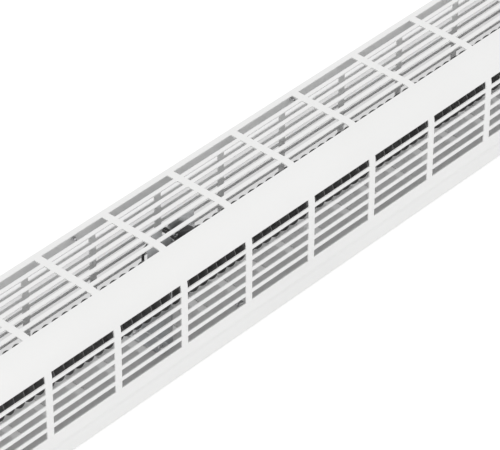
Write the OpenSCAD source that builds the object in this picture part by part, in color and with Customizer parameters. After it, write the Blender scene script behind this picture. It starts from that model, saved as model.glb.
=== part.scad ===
// Low plinth convector heater: a folded, slotted steel cover over a finned element.
// Origin: middle of the footprint on the floor, x along the heater, y to the rear, z up.

/* [Casing] */
// Number of grille bays along the heater
bays = 13; // [11:1:16]
// Distance from one upright rib to the next
bay_pitch = 70; // [66:1:76]
// Blank sheet to the left of the grille
left_margin = 20; // [16:1:30]
// Blank section at the right end that carries the controls
control_w = 90; // [86:1:110]
// Depth of the casing, front face to rear lip
depth = 86; // [82:1:96]
// Height of the casing above the floor, feet included
height = 110; // [106:1:123]
// Radius of the bend between the front and the top
corner_r = 28; // [24:1:30]
// Thickness of the cover and panel sheet
sheet = 1; // [0.8:0.1:1.4]
// Gap between the cover and the floor, made by the feet
floor_gap = 2; // [1:0.5:3]

/* [Slots] */
// Width of every air slot in the cover
slot_w = 6.8; // [4:0.1:7.2]
// Width of the upright ribs between bays
rib_w = 6.8; // [5:0.1:12]
// Rows of slots in the front and in the top
rows = 6; // [5:1:6]
// Row spacing in the front
front_pitch = 10.2; // [9.6:0.1:10.4]
// Row spacing in the top
top_pitch = 10.4; // [9.6:0.1:10.8]
// Height of the lowest front slot above the floor
front_row_z = 30.5; // [29:0.1:32]
// Rear edge of the rearmost top slot, from the front face
top_row_y = 79.9; // [76:0.1:80.5]
// Height of the openings in the rear panel
rear_slot_h = 7.5; // [5:0.1:8.5]
// Row spacing in the rear panel
rear_pitch = 10.6; // [9.8:0.1:11.4]
// Width of the ribs in the rear panel
rear_rib_w = 7; // [6:1:10]
// How far the rear ribs sit to the left of the front ribs
rear_shift = 9.7; // [0:0.1:12]

/* [Element] */
// Spacing of the fins along the element
fin_pitch = 10.1; // [9:0.1:12]
// Thickness of a fin
fin_t = 0.6; // [0.4:0.1:1]
// Height of a fin, twice its end radius
fin_h = 29.4; // [24:0.1:32]
// Spacing of the two legs of the element
leg_gap = 15; // [12:1:18]
// Radius of the heating tube
tube_r = 4; // [3.5:0.1:4.5]

/* [Controls] */
// Radius of the control knob
knob_r = 17; // [14:0.5:18]
// How far the knob stands out of the front
knob_out = 14; // [12:0.5:18]
// Angle of the rocker at rest
rocker_tilt = 8; // [5:1:9]

/* [Hidden] */

$fn = 48;
// clearances: a pin in its hole, a part in its cut-out, two parts that pass each other
pin_gap = 0.05;
cutout_gap = 0.1;
free_gap = 0.3;
head_h = 1.8;
head_sink = 0.2;
eps = 0.01;

cap_t = 4;
cover_len = left_margin + bays * bay_pitch + control_w - 2 * cap_t;
length = cover_len + 2 * cap_t;
end_x = length / 2;
cover_x = cover_len / 2;
grille_x = -end_x + left_margin;
control_x = grille_x + bays * bay_pitch;
front_y = -(depth + head_h - knob_out) / 2;

rear_r = 1.5;
lip_h = 9.5;
skirt_in = 1.2;
jog_lo = 15.5;
jog_hi = 19;
hem_w = 8;
panel_y = depth - 2 * sheet;
lip_bottom = height - lip_h;
screw_z = height - 6.2;
slot_len = bay_pitch - rib_w;
lip_screws = [for (i = [-2:2]) i * (cover_x - 26) / 2];
cover_screw_r = 1.75;
cover_screw_head = 3.4;
panel_drop = 3.5;
panel_flange_d = 10;
panel_flange_z = 31;
panel_flange_top = height - 7;
rivet_r = 1.6;
rivet_z = 15;
rivet_head_r = 3;
rear_row_z = height - 20.4;
rear_rows = floor((rear_row_z - rivet_z - 6) / rear_pitch) + 1;
rear_slot_len = bay_pitch - rear_rib_w;

tray_z = floor_gap + sheet + 4;
tray_t = 1;
floor_z = tray_z + tray_t;
tray_front = 3;
tray_lip = 19;
tray_rear_lip = tray_lip + 4;
tray_side_y = 8;
tray_side_len = panel_y - 14;
inlet_w = 8;
inlet_pitch = 33;
inlet_x = grille_x + 44;
inlets = floor((control_x - 40 - inlet_x) / inlet_pitch) + 1;
inlet_y = depth / 2 - 6;
inlet_len = 24;

foot_x = end_x - 22;
foot_r = 9;
foot_hole_r = 2.8;

cap_flange = 8;
cap_flange_t = 2;
cap_flange_z = 27;
cap_screw_ys = [20, depth - 20];
cap_screw_z = 16;
cap_top_screw = [panel_y - panel_flange_d / 2, height - 17];
cap_screws_at = [[cap_screw_ys[0], cap_screw_z], [cap_screw_ys[1], cap_screw_z], cap_top_screw];
cap_screw_r = 1.5;
cap_screw_head = 3;

leg_z = height / 2 + 2.25;
leg_y = depth / 2 - 1;
leg_ys = [leg_y - leg_gap / 2, leg_y + leg_gap / 2];
fin_x = grille_x + 23.8;
bracket_t = 1.2;
left_bracket_x = grille_x + 14;
middle_bracket_x = fin_x + 26.5 * fin_pitch - bracket_t / 2;
right_bracket_x = control_x - 11;
fins = floor((right_bracket_x - 6 - fin_x) / fin_pitch) + 1;
bend_x = left_bracket_x - 8;
tube_end = control_x + 20;
bush_r = tube_r + 2;
insulator_t = 1;
insulator_len = 4;
pin_r = 2;
pin_len = 10;
pin_end = tube_end + pin_len;
foot_len = 12;
bracket_half = leg_gap / 2 + 10.5;
bracket_rise = 10;
bracket_screw_r = 1.6;
bracket_screw_head = 3;
bracket_screw_out = bracket_half - 5;
bracket_screw_ys = [leg_y - bracket_screw_out, leg_y + bracket_screw_out];
foot_out = 10;
foot_ys = [bracket_screw_ys[0] - foot_out, bracket_screw_ys[1] + foot_out];
screw_tip_z = tray_z - 1.5;

plate_x = control_x + 4;
plate_foot_y = 10;
grommet_y = depth - 16;
grommet_z = floor_z + 9;
grommet_r = 4.5;
grommet_rim = 1.3;
wire_r = 1.1;
wire_gap = 1.5;
tab_gap = wire_r + 0.4;

plate_gap = 2.05;
plate_below = 11;
plate_above = 18;
cut_x = middle_bracket_x + 36;
cut_z = leg_z + fin_h / 2 + plate_gap + plate_below;
cut_y = leg_y + 4;
cut_r = 7.5;
cut_d = 10;
ear = 10;
ear_t = 1;
ear_screw_r = 1.2;
tab_w = 14;
tab_over = 9;
cut_cup_r = 4.9;
cut_plate_len = cut_x + ear + 2.8 - middle_bracket_x - bracket_t;
wire_hole_r = 4;
wire_hole_x = cut_x - 18;
wire_hole_z = cut_z + 12;

knob_x = control_x + 30;
knob_z = 59;
shaft_r = 3;
bushing_r = 4.9;
dial_r = knob_r + 5;
body_w = 30;
body_h = 34;
body_y = 4;
body_d = leg_ys[0] - tube_r - insulator_t - 1.5 - body_y;
stat_x = knob_x + 9;
stat_y = body_y + body_d + 2;

switch_w = 13;
bezel_w = 1;
switch_x = cover_x - cap_flange - 1.5 - bezel_w - switch_w / 2;
switch_h = 19.2;
switch_d = 20;
bezel = 1.5;
rocker_w = 9.6;
rocker_half = 7.5;
pivot_y = 4;
pivot_r = 1.2;
tab_zs = [knob_z - 6, knob_z, knob_z + 6];
stat_tab_zs = [knob_z - 12, knob_z + 12];

block_x = control_x + 22;
block_w = 36;
block_d = 18;
block_h = 15;
block_y = leg_ys[1] + wire_r + 1.4;
pole = 12;
pole_r = 2;
pole_xs = [for (i = [-1:1]) block_x + block_w / 2 + i * pole];
pole_y = block_y + 8;
pole_z = floor_z + 7;
pole_screw_ys = [block_y + 5, block_y + 13];
stud_x = foot_x + 4;
stud_y = foot_ys[0] + 15;
stud_r = 2;
nut_r = 4;
nut_h = 3;
lug_t = 2.4;
lug_r = 4.6;
lug_z = floor_z + nut_h;
stud_len = 14;
entry_x = control_x + 50;
entry_z = 33;
entry_r = 4.5;
entry_hole_r = 8;
wire_rise_z = entry_z;

bond_x = grille_x + 364;
bond_y = 21.5;
bond_r = 1.75;
washer_r = 4;
washer_t = 0.8;

white = [0.93, 0.93, 0.92];
zinc = [0.72, 0.73, 0.74];
black = [0.06, 0.06, 0.06];
steel = [0.62, 0.62, 0.62];
ceramic = [0.90, 0.88, 0.80];
plastic = [0.94, 0.94, 0.93];
brass = [0.78, 0.64, 0.30];

// places a shape drawn with y = 0 on the front face
module in_casing() translate([0, front_y, 0]) children();

// extrudes a section drawn as (y, z) along x
module along_x(x, len) translate([x, 0, 0]) rotate([90, 0, 90]) linear_extrude(height = len) children();

module rod_x(x, y, z, r, len) translate([x, y, z]) rotate([0, 90, 0]) cylinder(h = len, r = r);
module rod_y(x, y, z, r, len) translate([x, y, z]) rotate([-90, 0, 0]) cylinder(h = len, r = r);
module rod_z(x, y, z, r, len) translate([x, y, z]) cylinder(h = len, r = r);

// a quarter of a bent sheet: centre, outer radius, corner 0 for front top, 1 for rear top
module bend(y, z, r, side) translate([y, z]) intersection() {
    difference() {
        circle(r = r);
        circle(r = r - sheet);
    }
    translate([side == 0 ? -r : 0, 0]) square([r, r]);
}

module cover_section() {
    polygon([[skirt_in, floor_gap], [skirt_in + hem_w, floor_gap], [skirt_in + hem_w, floor_gap + sheet],
        [skirt_in + sheet, floor_gap + sheet], [skirt_in + sheet, jog_lo], [sheet, jog_hi],
        [sheet, height - corner_r], [0, height - corner_r], [0, jog_hi], [skirt_in, jog_lo]]);
    bend(corner_r, height - corner_r, corner_r, 0);
    translate([corner_r, height - sheet]) square([depth - corner_r - rear_r, sheet]);
    bend(depth - rear_r, height - rear_r, rear_r, 1);
    translate([depth - sheet, lip_bottom]) square([sheet, lip_h - rear_r]);
}

// the space inside the cover, drawn in by an inset, as a filled section
module casing_outline(inset) {
    r = corner_r - inset;
    translate([corner_r, height - corner_r]) circle(r = r);
    translate([inset, floor_gap + inset]) square([depth - 2 * inset, height - corner_r - floor_gap - inset]);
    translate([corner_r, height - corner_r - eps]) square([depth - corner_r - inset, corner_r - inset + eps]);
}

module cover() color(white) in_casing() difference() {
    along_x(-cover_x, cover_len) cover_section();
    for (bay = [0:bays - 1]) {
        x = grille_x + bay * bay_pitch + rib_w / 2;
        for (row = [0:rows - 1]) {
            translate([x, -1, front_row_z + row * front_pitch]) cube([slot_len, 9, slot_w]);
            translate([x, top_row_y - slot_w - row * top_pitch, height - 9]) cube([slot_len, slot_w, 10]);
        }
    }
    rod_y(knob_x, -1, knob_z, bushing_r + cutout_gap, 4);
    translate([switch_x - switch_w / 2 - cutout_gap, -1, knob_z - switch_h / 2 - cutout_gap])
        cube([switch_w + 2 * cutout_gap, 4, switch_h + 2 * cutout_gap]);
    for (x = lip_screws) rod_y(x, depth - 2, screw_z, cover_screw_r + 3 * pin_gap, 3);
}

module rear_panel() color(zinc) in_casing() difference() {
    union() {
        translate([-cover_x, panel_y, tray_z]) cube([cover_len, sheet, height - panel_drop - tray_z]);
        for (side = [-1, 1])
            translate([side > 0 ? cover_x - sheet : -cover_x, panel_y - panel_flange_d, panel_flange_z])
                cube([sheet, panel_flange_d, panel_flange_top - panel_flange_z]);
    }
    for (bay = [0:bays - 1], row = [0:rear_rows - 1])
        translate([grille_x + bay * bay_pitch + rear_rib_w / 2 - rear_shift, panel_y - 1,
            rear_row_z - row * rear_pitch]) cube([rear_slot_len, sheet + 2, rear_slot_h]);
    rod_y(entry_x, panel_y - 1, entry_z, entry_hole_r, 3);
    for (x = lip_screws) rod_y(x, panel_y - 1, screw_z, cover_screw_r + pin_gap, 3);
    for (x = lip_screws) rod_y(x, panel_y - 1, rivet_z, rivet_r + pin_gap, 3);
    for (side = [-1, 1])
        rod_x(side * cover_x - 2, cap_top_screw[0], cap_top_screw[1], cap_screw_r + pin_gap, 4);
}

module base_tray() color(white) in_casing() difference() {
    union() {
        translate([-cover_x, tray_front, tray_z]) cube([cover_len, panel_y - tray_front, tray_t]);
        translate([-cover_x, tray_front, tray_z]) cube([cover_len, tray_t, tray_lip - tray_z]);
        translate([-cover_x, panel_y - tray_t, tray_z]) cube([cover_len, tray_t, tray_rear_lip - tray_z]);
        for (side = [-1, 1])
            translate([side > 0 ? cover_x - tray_t : -cover_x, tray_side_y, tray_z])
                cube([tray_t, tray_side_len, tray_rear_lip - tray_z]);
    }
    for (i = [0:inlets - 1])
        translate([inlet_x + i * inlet_pitch - inlet_w / 2, inlet_y, tray_z - 1])
            cube([inlet_w, inlet_len, 4]);
    for (x = [-foot_x, foot_x], y = foot_ys) rod_z(x, y, tray_z - 1, foot_hole_r, 4);
    for (x = bracket_screw_xs, y = bracket_screw_ys) rod_z(x, y, tray_z - 1, bracket_screw_r + pin_gap, 4);
    for (x = lip_screws) rod_y(x, panel_y - 3, rivet_z, rivet_r + pin_gap, 4);
    for (side = [-1, 1], y = cap_screw_ys)
        rod_x(side * cover_x - 2, y, cap_screw_z, cap_screw_r + pin_gap, 4);
    rod_z(stud_x, stud_y, tray_z - 1, stud_r + pin_gap, 4);
    rod_z(bond_x, bond_y, tray_z - 1, bond_r + pin_gap, 4);
}

module end_cap() difference() {
    union() {
        along_x(cover_x, cap_t) casing_outline(0);
        intersection() {
            along_x(cover_x - cap_flange, cap_flange + eps) difference() {
                casing_outline(sheet + free_gap);
                casing_outline(sheet + free_gap + cap_flange_t);
            }
            translate([0, 0, cap_flange_z]) cube([length, cap_top_screw[0] - 1, height]);
        }
    }
    for (p = cap_screws_at) {
        rod_x(cover_x - 1, p[0], p[1], cap_screw_r + free_gap, cap_t + 2);
        rod_x(end_x - head_h - head_sink, p[0], p[1], cap_screw_head + free_gap, cap_t);
    }
}

module right_end_cap() color(plastic) in_casing() end_cap();
module left_end_cap() color(plastic) in_casing() mirror([1, 0, 0]) end_cap();

module foot_pads() color(black) in_casing() for (x = [-foot_x, foot_x], y = foot_ys) difference() {
    rod_z(x, y, 0, foot_r, tray_z);
    rod_z(x, y, -1, foot_hole_r, tray_z + 2);
}

module element_tube() color(steel) in_casing() {
    for (y = leg_ys) rod_x(bend_x, y, leg_z, tube_r, tube_end - bend_x);
    translate([bend_x, leg_y, leg_z]) rotate([0, 0, 90])
        rotate_extrude(angle = 180) translate([leg_gap / 2, 0]) circle(r = tube_r);
}

module fin_section() difference() {
    union() {
        for (y = leg_ys) translate([y, leg_z]) circle(r = fin_h / 2);
        translate([leg_ys[0], leg_z - fin_h / 2]) square([leg_gap, fin_h]);
    }
    for (y = leg_ys) translate([y, leg_z]) circle(r = tube_r + pin_gap);
}

module element_fins() color(black) in_casing() for (i = [0:fins - 1])
    along_x(fin_x + i * fin_pitch - fin_t / 2, fin_t) fin_section();

bush_xs = [left_bracket_x, middle_bracket_x, right_bracket_x, plate_x];

module tube_bushes() color(ceramic) in_casing() for (x = bush_xs, y = leg_ys) difference() {
    union() {
        rod_x(x - 2, y, leg_z, bush_r - pin_gap, bracket_t + 4);
        rod_x(x - 2, y, leg_z, bush_r + 1.2, 2);
    }
    rod_x(x - 3, y, leg_z, tube_r + pin_gap, bracket_t + 6);
}

bracket_screw_xs = [left_bracket_x - foot_len / 2, middle_bracket_x - foot_len / 2,
    right_bracket_x + bracket_t + foot_len / 2, plate_x + bracket_t + foot_len / 2];

// upright plate with a foot on the tray; side -1 turns the foot to the left
module element_bracket(x, side) difference() {
    union() {
        translate([x, leg_y - bracket_half, floor_z])
            cube([bracket_t, 2 * bracket_half, leg_z + bracket_rise - floor_z]);
        translate([side > 0 ? x : x - foot_len, leg_y - bracket_half, floor_z])
            cube([foot_len + bracket_t, 2 * bracket_half, bracket_t]);
    }
    for (y = leg_ys) rod_x(x - 1, y, leg_z, bush_r, bracket_t + 2);
    for (y = bracket_screw_ys)
        rod_z(x + (side > 0 ? bracket_t + foot_len / 2 : -foot_len / 2), y, floor_z - 1,
            bracket_screw_r + pin_gap, 4);
}

module element_bracket_left() color(steel) in_casing() element_bracket(left_bracket_x, -1);
module element_bracket_right() color(steel) in_casing() element_bracket(right_bracket_x, 1);
module element_bracket_middle() color(steel) in_casing() {
    element_bracket(middle_bracket_x, -1);
    translate([middle_bracket_x, cut_y + 2 - tab_w, leg_z + bracket_rise - eps])
        cube([bracket_t, tab_w, cut_z + tab_over - leg_z - bracket_rise]);
}

module division_plate() color(zinc) in_casing() difference() {
    union() {
        intersection() {
            along_x(plate_x, bracket_t) casing_outline(sheet + free_gap);
            translate([0, tray_front + tray_t + free_gap, floor_z])
                cube([end_x, panel_y - tray_front - 2 * tray_t - 2 * free_gap, height]);
        }
        translate([plate_x, plate_foot_y, floor_z])
            cube([bracket_t + foot_len, grommet_y - 8 - plate_foot_y, bracket_t]);
    }
    for (y = leg_ys) rod_x(plate_x - 1, y, leg_z, bush_r, bracket_t + 2);
    for (y = bracket_screw_ys)
        rod_z(plate_x + bracket_t + foot_len / 2, y, floor_z - 1, bracket_screw_r + pin_gap, 4);
    rod_x(plate_x - 1, grommet_y, grommet_z, grommet_r, bracket_t + 2);
}

module wire_grommet() color(black) in_casing() difference() {
    union() {
        rod_x(plate_x - 1.5, grommet_y, grommet_z, grommet_r - pin_gap, bracket_t + 3);
        rod_x(plate_x - 1.5, grommet_y, grommet_z, grommet_r + grommet_rim, 1.5);
        rod_x(plate_x + bracket_t, grommet_y, grommet_z, grommet_r + grommet_rim, 1.5);
    }
    rod_x(plate_x - 3, grommet_y, grommet_z, grommet_r - grommet_rim, bracket_t + 6);
}

module terminal_insulators() color(ceramic) in_casing() for (y = leg_ys) difference() {
    rod_x(tube_end, y, leg_z, tube_r + insulator_t, insulator_len);
    rod_x(tube_end - 1, y, leg_z, pin_r + pin_gap, insulator_len + 2);
}

module terminal_pins() color(brass) in_casing() for (y = leg_ys)
    rod_x(tube_end, y, leg_z, pin_r, pin_len);

module hex_nut(r, hole, h) difference() {
    cylinder(h = h, r = r, $fn = 6);
    translate([0, 0, -1]) cylinder(h = h + 2, r = hole);
}

module terminal_nuts() color(brass) in_casing() for (y = leg_ys)
    translate([tube_end + insulator_len, y, leg_z]) rotate([0, 90, 0]) hex_nut(nut_r, pin_r + pin_gap, nut_h);

module cutout_bracket() color(zinc) in_casing() difference() {
    union() {
        translate([middle_bracket_x + bracket_t, cut_y, cut_z - plate_below])
            cube([cut_plate_len, bracket_t, plate_below + plate_above]);
        translate([middle_bracket_x + bracket_t, cut_y - tab_w + 4, cut_z - tab_w / 2])
            cube([bracket_t, tab_w - 4 + eps, tab_w]);
    }
    rod_y(cut_x, cut_y - 1, cut_z, cut_cup_r + cutout_gap, bracket_t + 2);
    for (side = [-1, 1]) rod_y(cut_x + side * ear, cut_y - 1, cut_z, ear_screw_r + pin_gap, bracket_t + 2);
    rod_y(wire_hole_x, cut_y - 1, wire_hole_z, wire_hole_r, bracket_t + 2);
}

module thermal_cutout() color(black) in_casing() difference() {
    union() {
        rod_y(cut_x, cut_y - cut_d, cut_z, cut_r, cut_d);
        rod_y(cut_x, cut_y - eps, cut_z, cut_cup_r, bracket_t + 1);
        translate([cut_x - ear - 2.4, cut_y - ear_t, cut_z - 4]) cube([2 * ear + 4.8, ear_t, 8]);
        for (side = [-1, 1])
            translate([cut_x + side * 3 - 0.4, cut_y - cut_d - 8, cut_z - 3]) cube([0.8, 8 + eps, 6]);
    }
    for (side = [-1, 1])
        rod_y(cut_x + side * ear, cut_y - ear_t - 1, cut_z, ear_screw_r + pin_gap, ear_t + 2);
}

module cutout_screws() color(steel) in_casing() for (side = [-1, 1]) {
    rod_y(cut_x + side * ear, cut_y - ear_t, cut_z, ear_screw_r, 5);
    rod_y(cut_x + side * ear, cut_y - ear_t - 1.4, cut_z, 2.3, 1.4);
}

module thermostat_body() color(black) in_casing() difference() {
    union() {
        translate([knob_x - body_w / 2, body_y, knob_z - body_h / 2]) cube([body_w, body_d, body_h]);
        rod_y(knob_x, -4.2, knob_z, bushing_r, body_y + 5);
        rod_y(knob_x, sheet, knob_z, 9, body_y - sheet + eps);
    }
    rod_y(knob_x, -6, knob_z, shaft_r + pin_gap, body_y + 11);
}

module thermostat_shaft() color(steel) in_casing()
    rod_y(knob_x, 2 - knob_out, knob_z, shaft_r, body_y + 2 + knob_out);

module thermostat_nut() color(steel) in_casing()
    translate([knob_x, -0.5, knob_z]) rotate([90, 0, 0]) hex_nut(8, bushing_r + pin_gap, 3);

module dial_plate() color(white) in_casing() difference() {
    rod_y(knob_x, -0.5, knob_z, dial_r, 0.5);
    rod_y(knob_x, -2, knob_z, bushing_r + cutout_gap, 4);
}

module control_knob() color(plastic) in_casing() difference() {
    union() {
        rod_y(knob_x, -6, knob_z, knob_r, 6 - 0.5 - free_gap);
        rod_y(knob_x, -knob_out, knob_z, knob_r - 3.5, knob_out - 6 + eps);
        translate([knob_x - 2, -knob_out, knob_z]) cube([4, knob_out - 3, knob_r - 0.8]);
    }
    rod_y(knob_x, -5.2, knob_z, 9.5, 6);
    rod_y(knob_x, 2 - knob_out, knob_z, shaft_r + pin_gap, knob_out);
}

module switch_housing() color(black) in_casing() difference() {
    union() {
        translate([switch_x - switch_w / 2, 0, knob_z - switch_h / 2]) cube([switch_w, switch_d, switch_h]);
        translate([switch_x - switch_w / 2 - bezel_w, -bezel, knob_z - switch_h / 2 - bezel_w])
            cube([switch_w + 2 * bezel_w, bezel, switch_h + 2 * bezel_w]);
    }
    translate([switch_x - rocker_w / 2 - free_gap, -bezel - 1, knob_z - 8.6])
        cube([rocker_w + 2 * free_gap, bezel + pivot_y + 6.5, 17.2]);
    rod_x(switch_x - switch_w / 2 + 0.5, pivot_y, knob_z, pivot_r + pin_gap, switch_w - 1);
}

module rocker() color(black) in_casing() translate([switch_x, pivot_y, knob_z]) rotate([rocker_tilt, 0, 0]) {
    along_x(-rocker_w / 2, rocker_w) polygon([[2.5, -3], [-2.5, -rocker_half], [-5.6, -rocker_half],
        [-4.4, 0], [-5.6, rocker_half], [-2.5, rocker_half], [2.5, 3]]);
    rod_x(-switch_w / 2 + 0.7, 0, 0, pivot_r, switch_w - 1.4);
}

module spade_tabs() color(brass) in_casing() {
    for (z = tab_zs) translate([switch_x - 2.4, switch_d, z - 0.4]) cube([4.8, 7, 0.8]);
    for (z = stat_tab_zs)
        translate([knob_x + 6, body_y + body_d, z - 0.4]) cube([6.3, 8, 0.8]);
}

module terminal_block() color(plastic) in_casing() difference() {
    translate([block_x, block_y, floor_z]) cube([block_w, block_d, block_h]);
    for (x = pole_xs) {
        rod_y(x, block_y - 1, pole_z, pole_r, block_d + 2);
        for (y = pole_screw_ys) rod_z(x, y, pole_z, pole_r, block_h);
    }
}

module terminal_screws() color(steel) in_casing() for (x = pole_xs, y = pole_screw_ys)
    rod_z(x, y, pole_z + wire_r, pole_r - pin_gap, 5);

module earth_stud() color(brass) in_casing() {
    rod_z(stud_x, stud_y, tray_z - 1, stud_r, stud_len);
    rod_z(stud_x, stud_y, tray_z - 1, 2 * stud_r, 1);
}

module earth_nut() color(brass) in_casing() {
    translate([stud_x, stud_y, floor_z]) hex_nut(nut_r, stud_r + pin_gap, nut_h);
    translate([stud_x, stud_y, floor_z + nut_h + lug_t]) hex_nut(nut_r, stud_r + pin_gap, nut_h);
}

// a round wire through a list of points, with a ball at each bend that covers the mitre
module wire(points) {
    steps = [for (i = [0:len(points) - 2]) points[i + 1] - points[i]];
    for (i = [0:len(steps) - 1])
        translate(points[i]) rotate([0, acos(steps[i][2] / norm(steps[i])), atan2(steps[i][1], steps[i][0])])
            cylinder(h = norm(steps[i]), r = wire_r);
    for (i = [1:len(steps) - 1])
        translate(points[i]) bend_ball(steps[i - 1] / norm(steps[i - 1]), steps[i] / norm(steps[i]));
}

// the ball's axis is square to the bend, so that its poles stay clear of the wire
module bend_ball(into, out) {
    turn = acos(into * out);
    side = (into - out) / norm(into - out);
    up = cross(into, out) / norm(cross(into, out));
    across = cross(up, side);
    multmatrix([for (i = [0:2]) [side[i], across[i], up[i], 0]])
        sphere(r = wire_r / cos(turn / 2) + 0.1);
}

brown = [0.45, 0.25, 0.15];
blue = [0.15, 0.30, 0.60];
green = [0.35, 0.55, 0.20];

module live_wire() color(brown) in_casing() wire([[pole_xs[0], pole_y, pole_z],
    [pole_xs[0], block_y - 6, pole_z], [pole_xs[0], block_y - 6, wire_rise_z],
    [switch_x, block_y - 6, wire_rise_z],
    [switch_x, switch_d + 12, tab_zs[0] - tab_gap], [switch_x, switch_d + 2, tab_zs[0] - tab_gap]]);

module switched_wire() color(brown) in_casing() wire([[switch_x, switch_d + 2, tab_zs[1] - tab_gap],
    [switch_x, switch_d + 16, tab_zs[1] - tab_gap], [stat_x, switch_d + 22, stat_tab_zs[0] - tab_gap],
    [stat_x, stat_y, stat_tab_zs[0] - tab_gap]]);

module neutral_wire() color(blue) in_casing() wire([[pole_xs[2], pole_y, pole_z],
    [pole_xs[2], leg_ys[1], pole_z], [pole_xs[2], leg_ys[1], leg_z], [pin_end, leg_ys[1], leg_z]]);

module earth_wire() color(green) in_casing() {
    wire([[pole_xs[1], pole_y, pole_z], [pole_xs[1], block_y - 5, pole_z],
        [stud_x - 8, stud_y + 2, lug_z + lug_t / 2], [stud_x - lug_r + 0.6, stud_y, lug_z + lug_t / 2]]);
    difference() {
        rod_z(stud_x, stud_y, lug_z, lug_r, lug_t);
        rod_z(stud_x, stud_y, lug_z - 1, stud_r + pin_gap, lug_t + 2);
    }
}

// the two leads of the thermal cut-out, side by side from the control section to its tabs
module cutout_wires() color(black) in_casing() {
    back_y = grommet_y + wire_gap;
    fore_y = grommet_y - wire_gap;
    right_x = wire_hole_x + wire_gap;
    left_x = wire_hole_x - wire_gap;
    wire([[stat_x, stat_y, stat_tab_zs[1] + tab_gap], [stat_x, grommet_y - 8, stat_tab_zs[1] + tab_gap],
        [plate_x + 12, back_y, leg_z - 4], [plate_x + 12, back_y, grommet_z], [right_x, back_y, grommet_z],
        [right_x, back_y, leg_z + 6], [right_x, cut_y + 6, wire_hole_z], [right_x, cut_y - 6, wire_hole_z],
        [cut_x + 4.5, cut_y - 16, cut_z + 8], [cut_x + 4.5, cut_y - 16, cut_z]]);
    wire([[pin_end, leg_ys[0], leg_z], [pin_end + 4, leg_ys[0], leg_z],
        [pin_end + 4, leg_ys[0], wire_rise_z + 4], [plate_x + 8, leg_ys[0] + 6, wire_rise_z - 6],
        [plate_x + 6, fore_y, grommet_z], [left_x, fore_y, grommet_z], [left_x, fore_y, leg_z + 6],
        [left_x, cut_y + 6, wire_hole_z],
        [left_x, cut_y - 5, wire_hole_z],
        [cut_x - 13, cut_y - 14, cut_z + 1], [cut_x - 4.5, cut_y - 16, cut_z]]);
}

module cable_bush() color(black) in_casing() difference() {
    union() {
        rod_y(entry_x, panel_y - 4, entry_z, entry_hole_r - pin_gap, 4 + sheet);
        rod_y(entry_x, depth - sheet, entry_z, entry_hole_r + 2, 2);
        rod_y(entry_x, panel_y - 2, entry_z, entry_hole_r + 1.2, 2);
    }
    rod_y(entry_x, panel_y - 5, entry_z, entry_r, 10);
}

module cap_screws() color(steel) in_casing() for (side = [-1, 1]) mirror([side > 0 ? 0 : 1, 0, 0]) {
    for (p = cap_screws_at) {
        rod_x(cover_x - 5, p[0], p[1], cap_screw_r, 5 + cap_t - head_h - head_sink);
        rod_x(end_x - head_h - head_sink, p[0], p[1], cap_screw_head, head_h);
    }
}

module cover_screws() color(steel) in_casing() for (x = lip_screws) {
    rod_y(x, depth - 6, screw_z, cover_screw_r, 6);
    rod_y(x, depth, screw_z, cover_screw_head, head_h);
}

module bracket_screws() color(steel) in_casing() for (x = bracket_screw_xs, y = bracket_screw_ys) {
    rod_z(x, y, screw_tip_z, bracket_screw_r, floor_z + bracket_t - screw_tip_z);
    rod_z(x, y, floor_z + bracket_t, bracket_screw_head, head_h);
}

module panel_rivets() color(steel) in_casing() for (x = lip_screws) {
    rod_y(x, panel_y - tray_t - 1, rivet_z, rivet_r, tray_t + sheet + 1.8);
    rod_y(x, panel_y - tray_t - 1, rivet_z, rivet_head_r, 1);
    rod_y(x, panel_y + sheet, rivet_z, rivet_head_r, 0.8);
}

module bond_screw() color(steel) in_casing() {
    rod_z(bond_x, bond_y, screw_tip_z, bond_r, 8);
    rod_z(bond_x, bond_y, floor_z, washer_r, washer_t);
    rod_z(bond_x, bond_y, floor_z + washer_t, washer_r - 0.8, 2.2);
}

cover();
rear_panel();
base_tray();
left_end_cap();
right_end_cap();
foot_pads();
element_tube();
element_fins();
tube_bushes();
element_bracket_left();
element_bracket_middle();
element_bracket_right();
division_plate();
wire_grommet();
terminal_insulators();
terminal_pins();
terminal_nuts();
cutout_bracket();
thermal_cutout();
cutout_screws();
thermostat_body();
thermostat_shaft();
thermostat_nut();
dial_plate();
control_knob();
switch_housing();
rocker();
spade_tabs();
terminal_block();
terminal_screws();
earth_stud();
earth_nut();
live_wire();
switched_wire();
neutral_wire();
earth_wire();
cutout_wires();
cable_bush();
cap_screws();
cover_screws();
bracket_screws();
panel_rivets();
bond_screw();
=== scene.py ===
# Plinth convector heater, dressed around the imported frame. Metres, +Z up, front towards -Y.
import math

import bmesh
import bpy
from mathutils import Matrix, Vector


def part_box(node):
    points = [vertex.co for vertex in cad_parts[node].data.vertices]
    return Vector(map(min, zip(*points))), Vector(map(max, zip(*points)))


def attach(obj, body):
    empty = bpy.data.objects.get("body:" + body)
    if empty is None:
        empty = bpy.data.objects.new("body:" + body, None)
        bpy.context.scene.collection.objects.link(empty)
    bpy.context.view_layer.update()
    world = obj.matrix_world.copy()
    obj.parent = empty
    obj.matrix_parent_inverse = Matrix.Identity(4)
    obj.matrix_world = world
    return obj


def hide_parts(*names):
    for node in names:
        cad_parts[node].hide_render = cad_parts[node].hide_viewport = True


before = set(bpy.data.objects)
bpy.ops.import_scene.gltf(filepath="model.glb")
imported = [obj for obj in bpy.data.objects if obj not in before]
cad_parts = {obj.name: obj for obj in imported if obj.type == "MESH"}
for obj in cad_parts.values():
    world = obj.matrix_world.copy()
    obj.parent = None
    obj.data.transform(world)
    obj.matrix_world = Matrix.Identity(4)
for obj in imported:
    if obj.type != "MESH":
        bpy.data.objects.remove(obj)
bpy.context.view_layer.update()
mm = 0.001
tolerance = 0.01 * mm
scene = bpy.context.scene
print("frame loaded")

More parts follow.
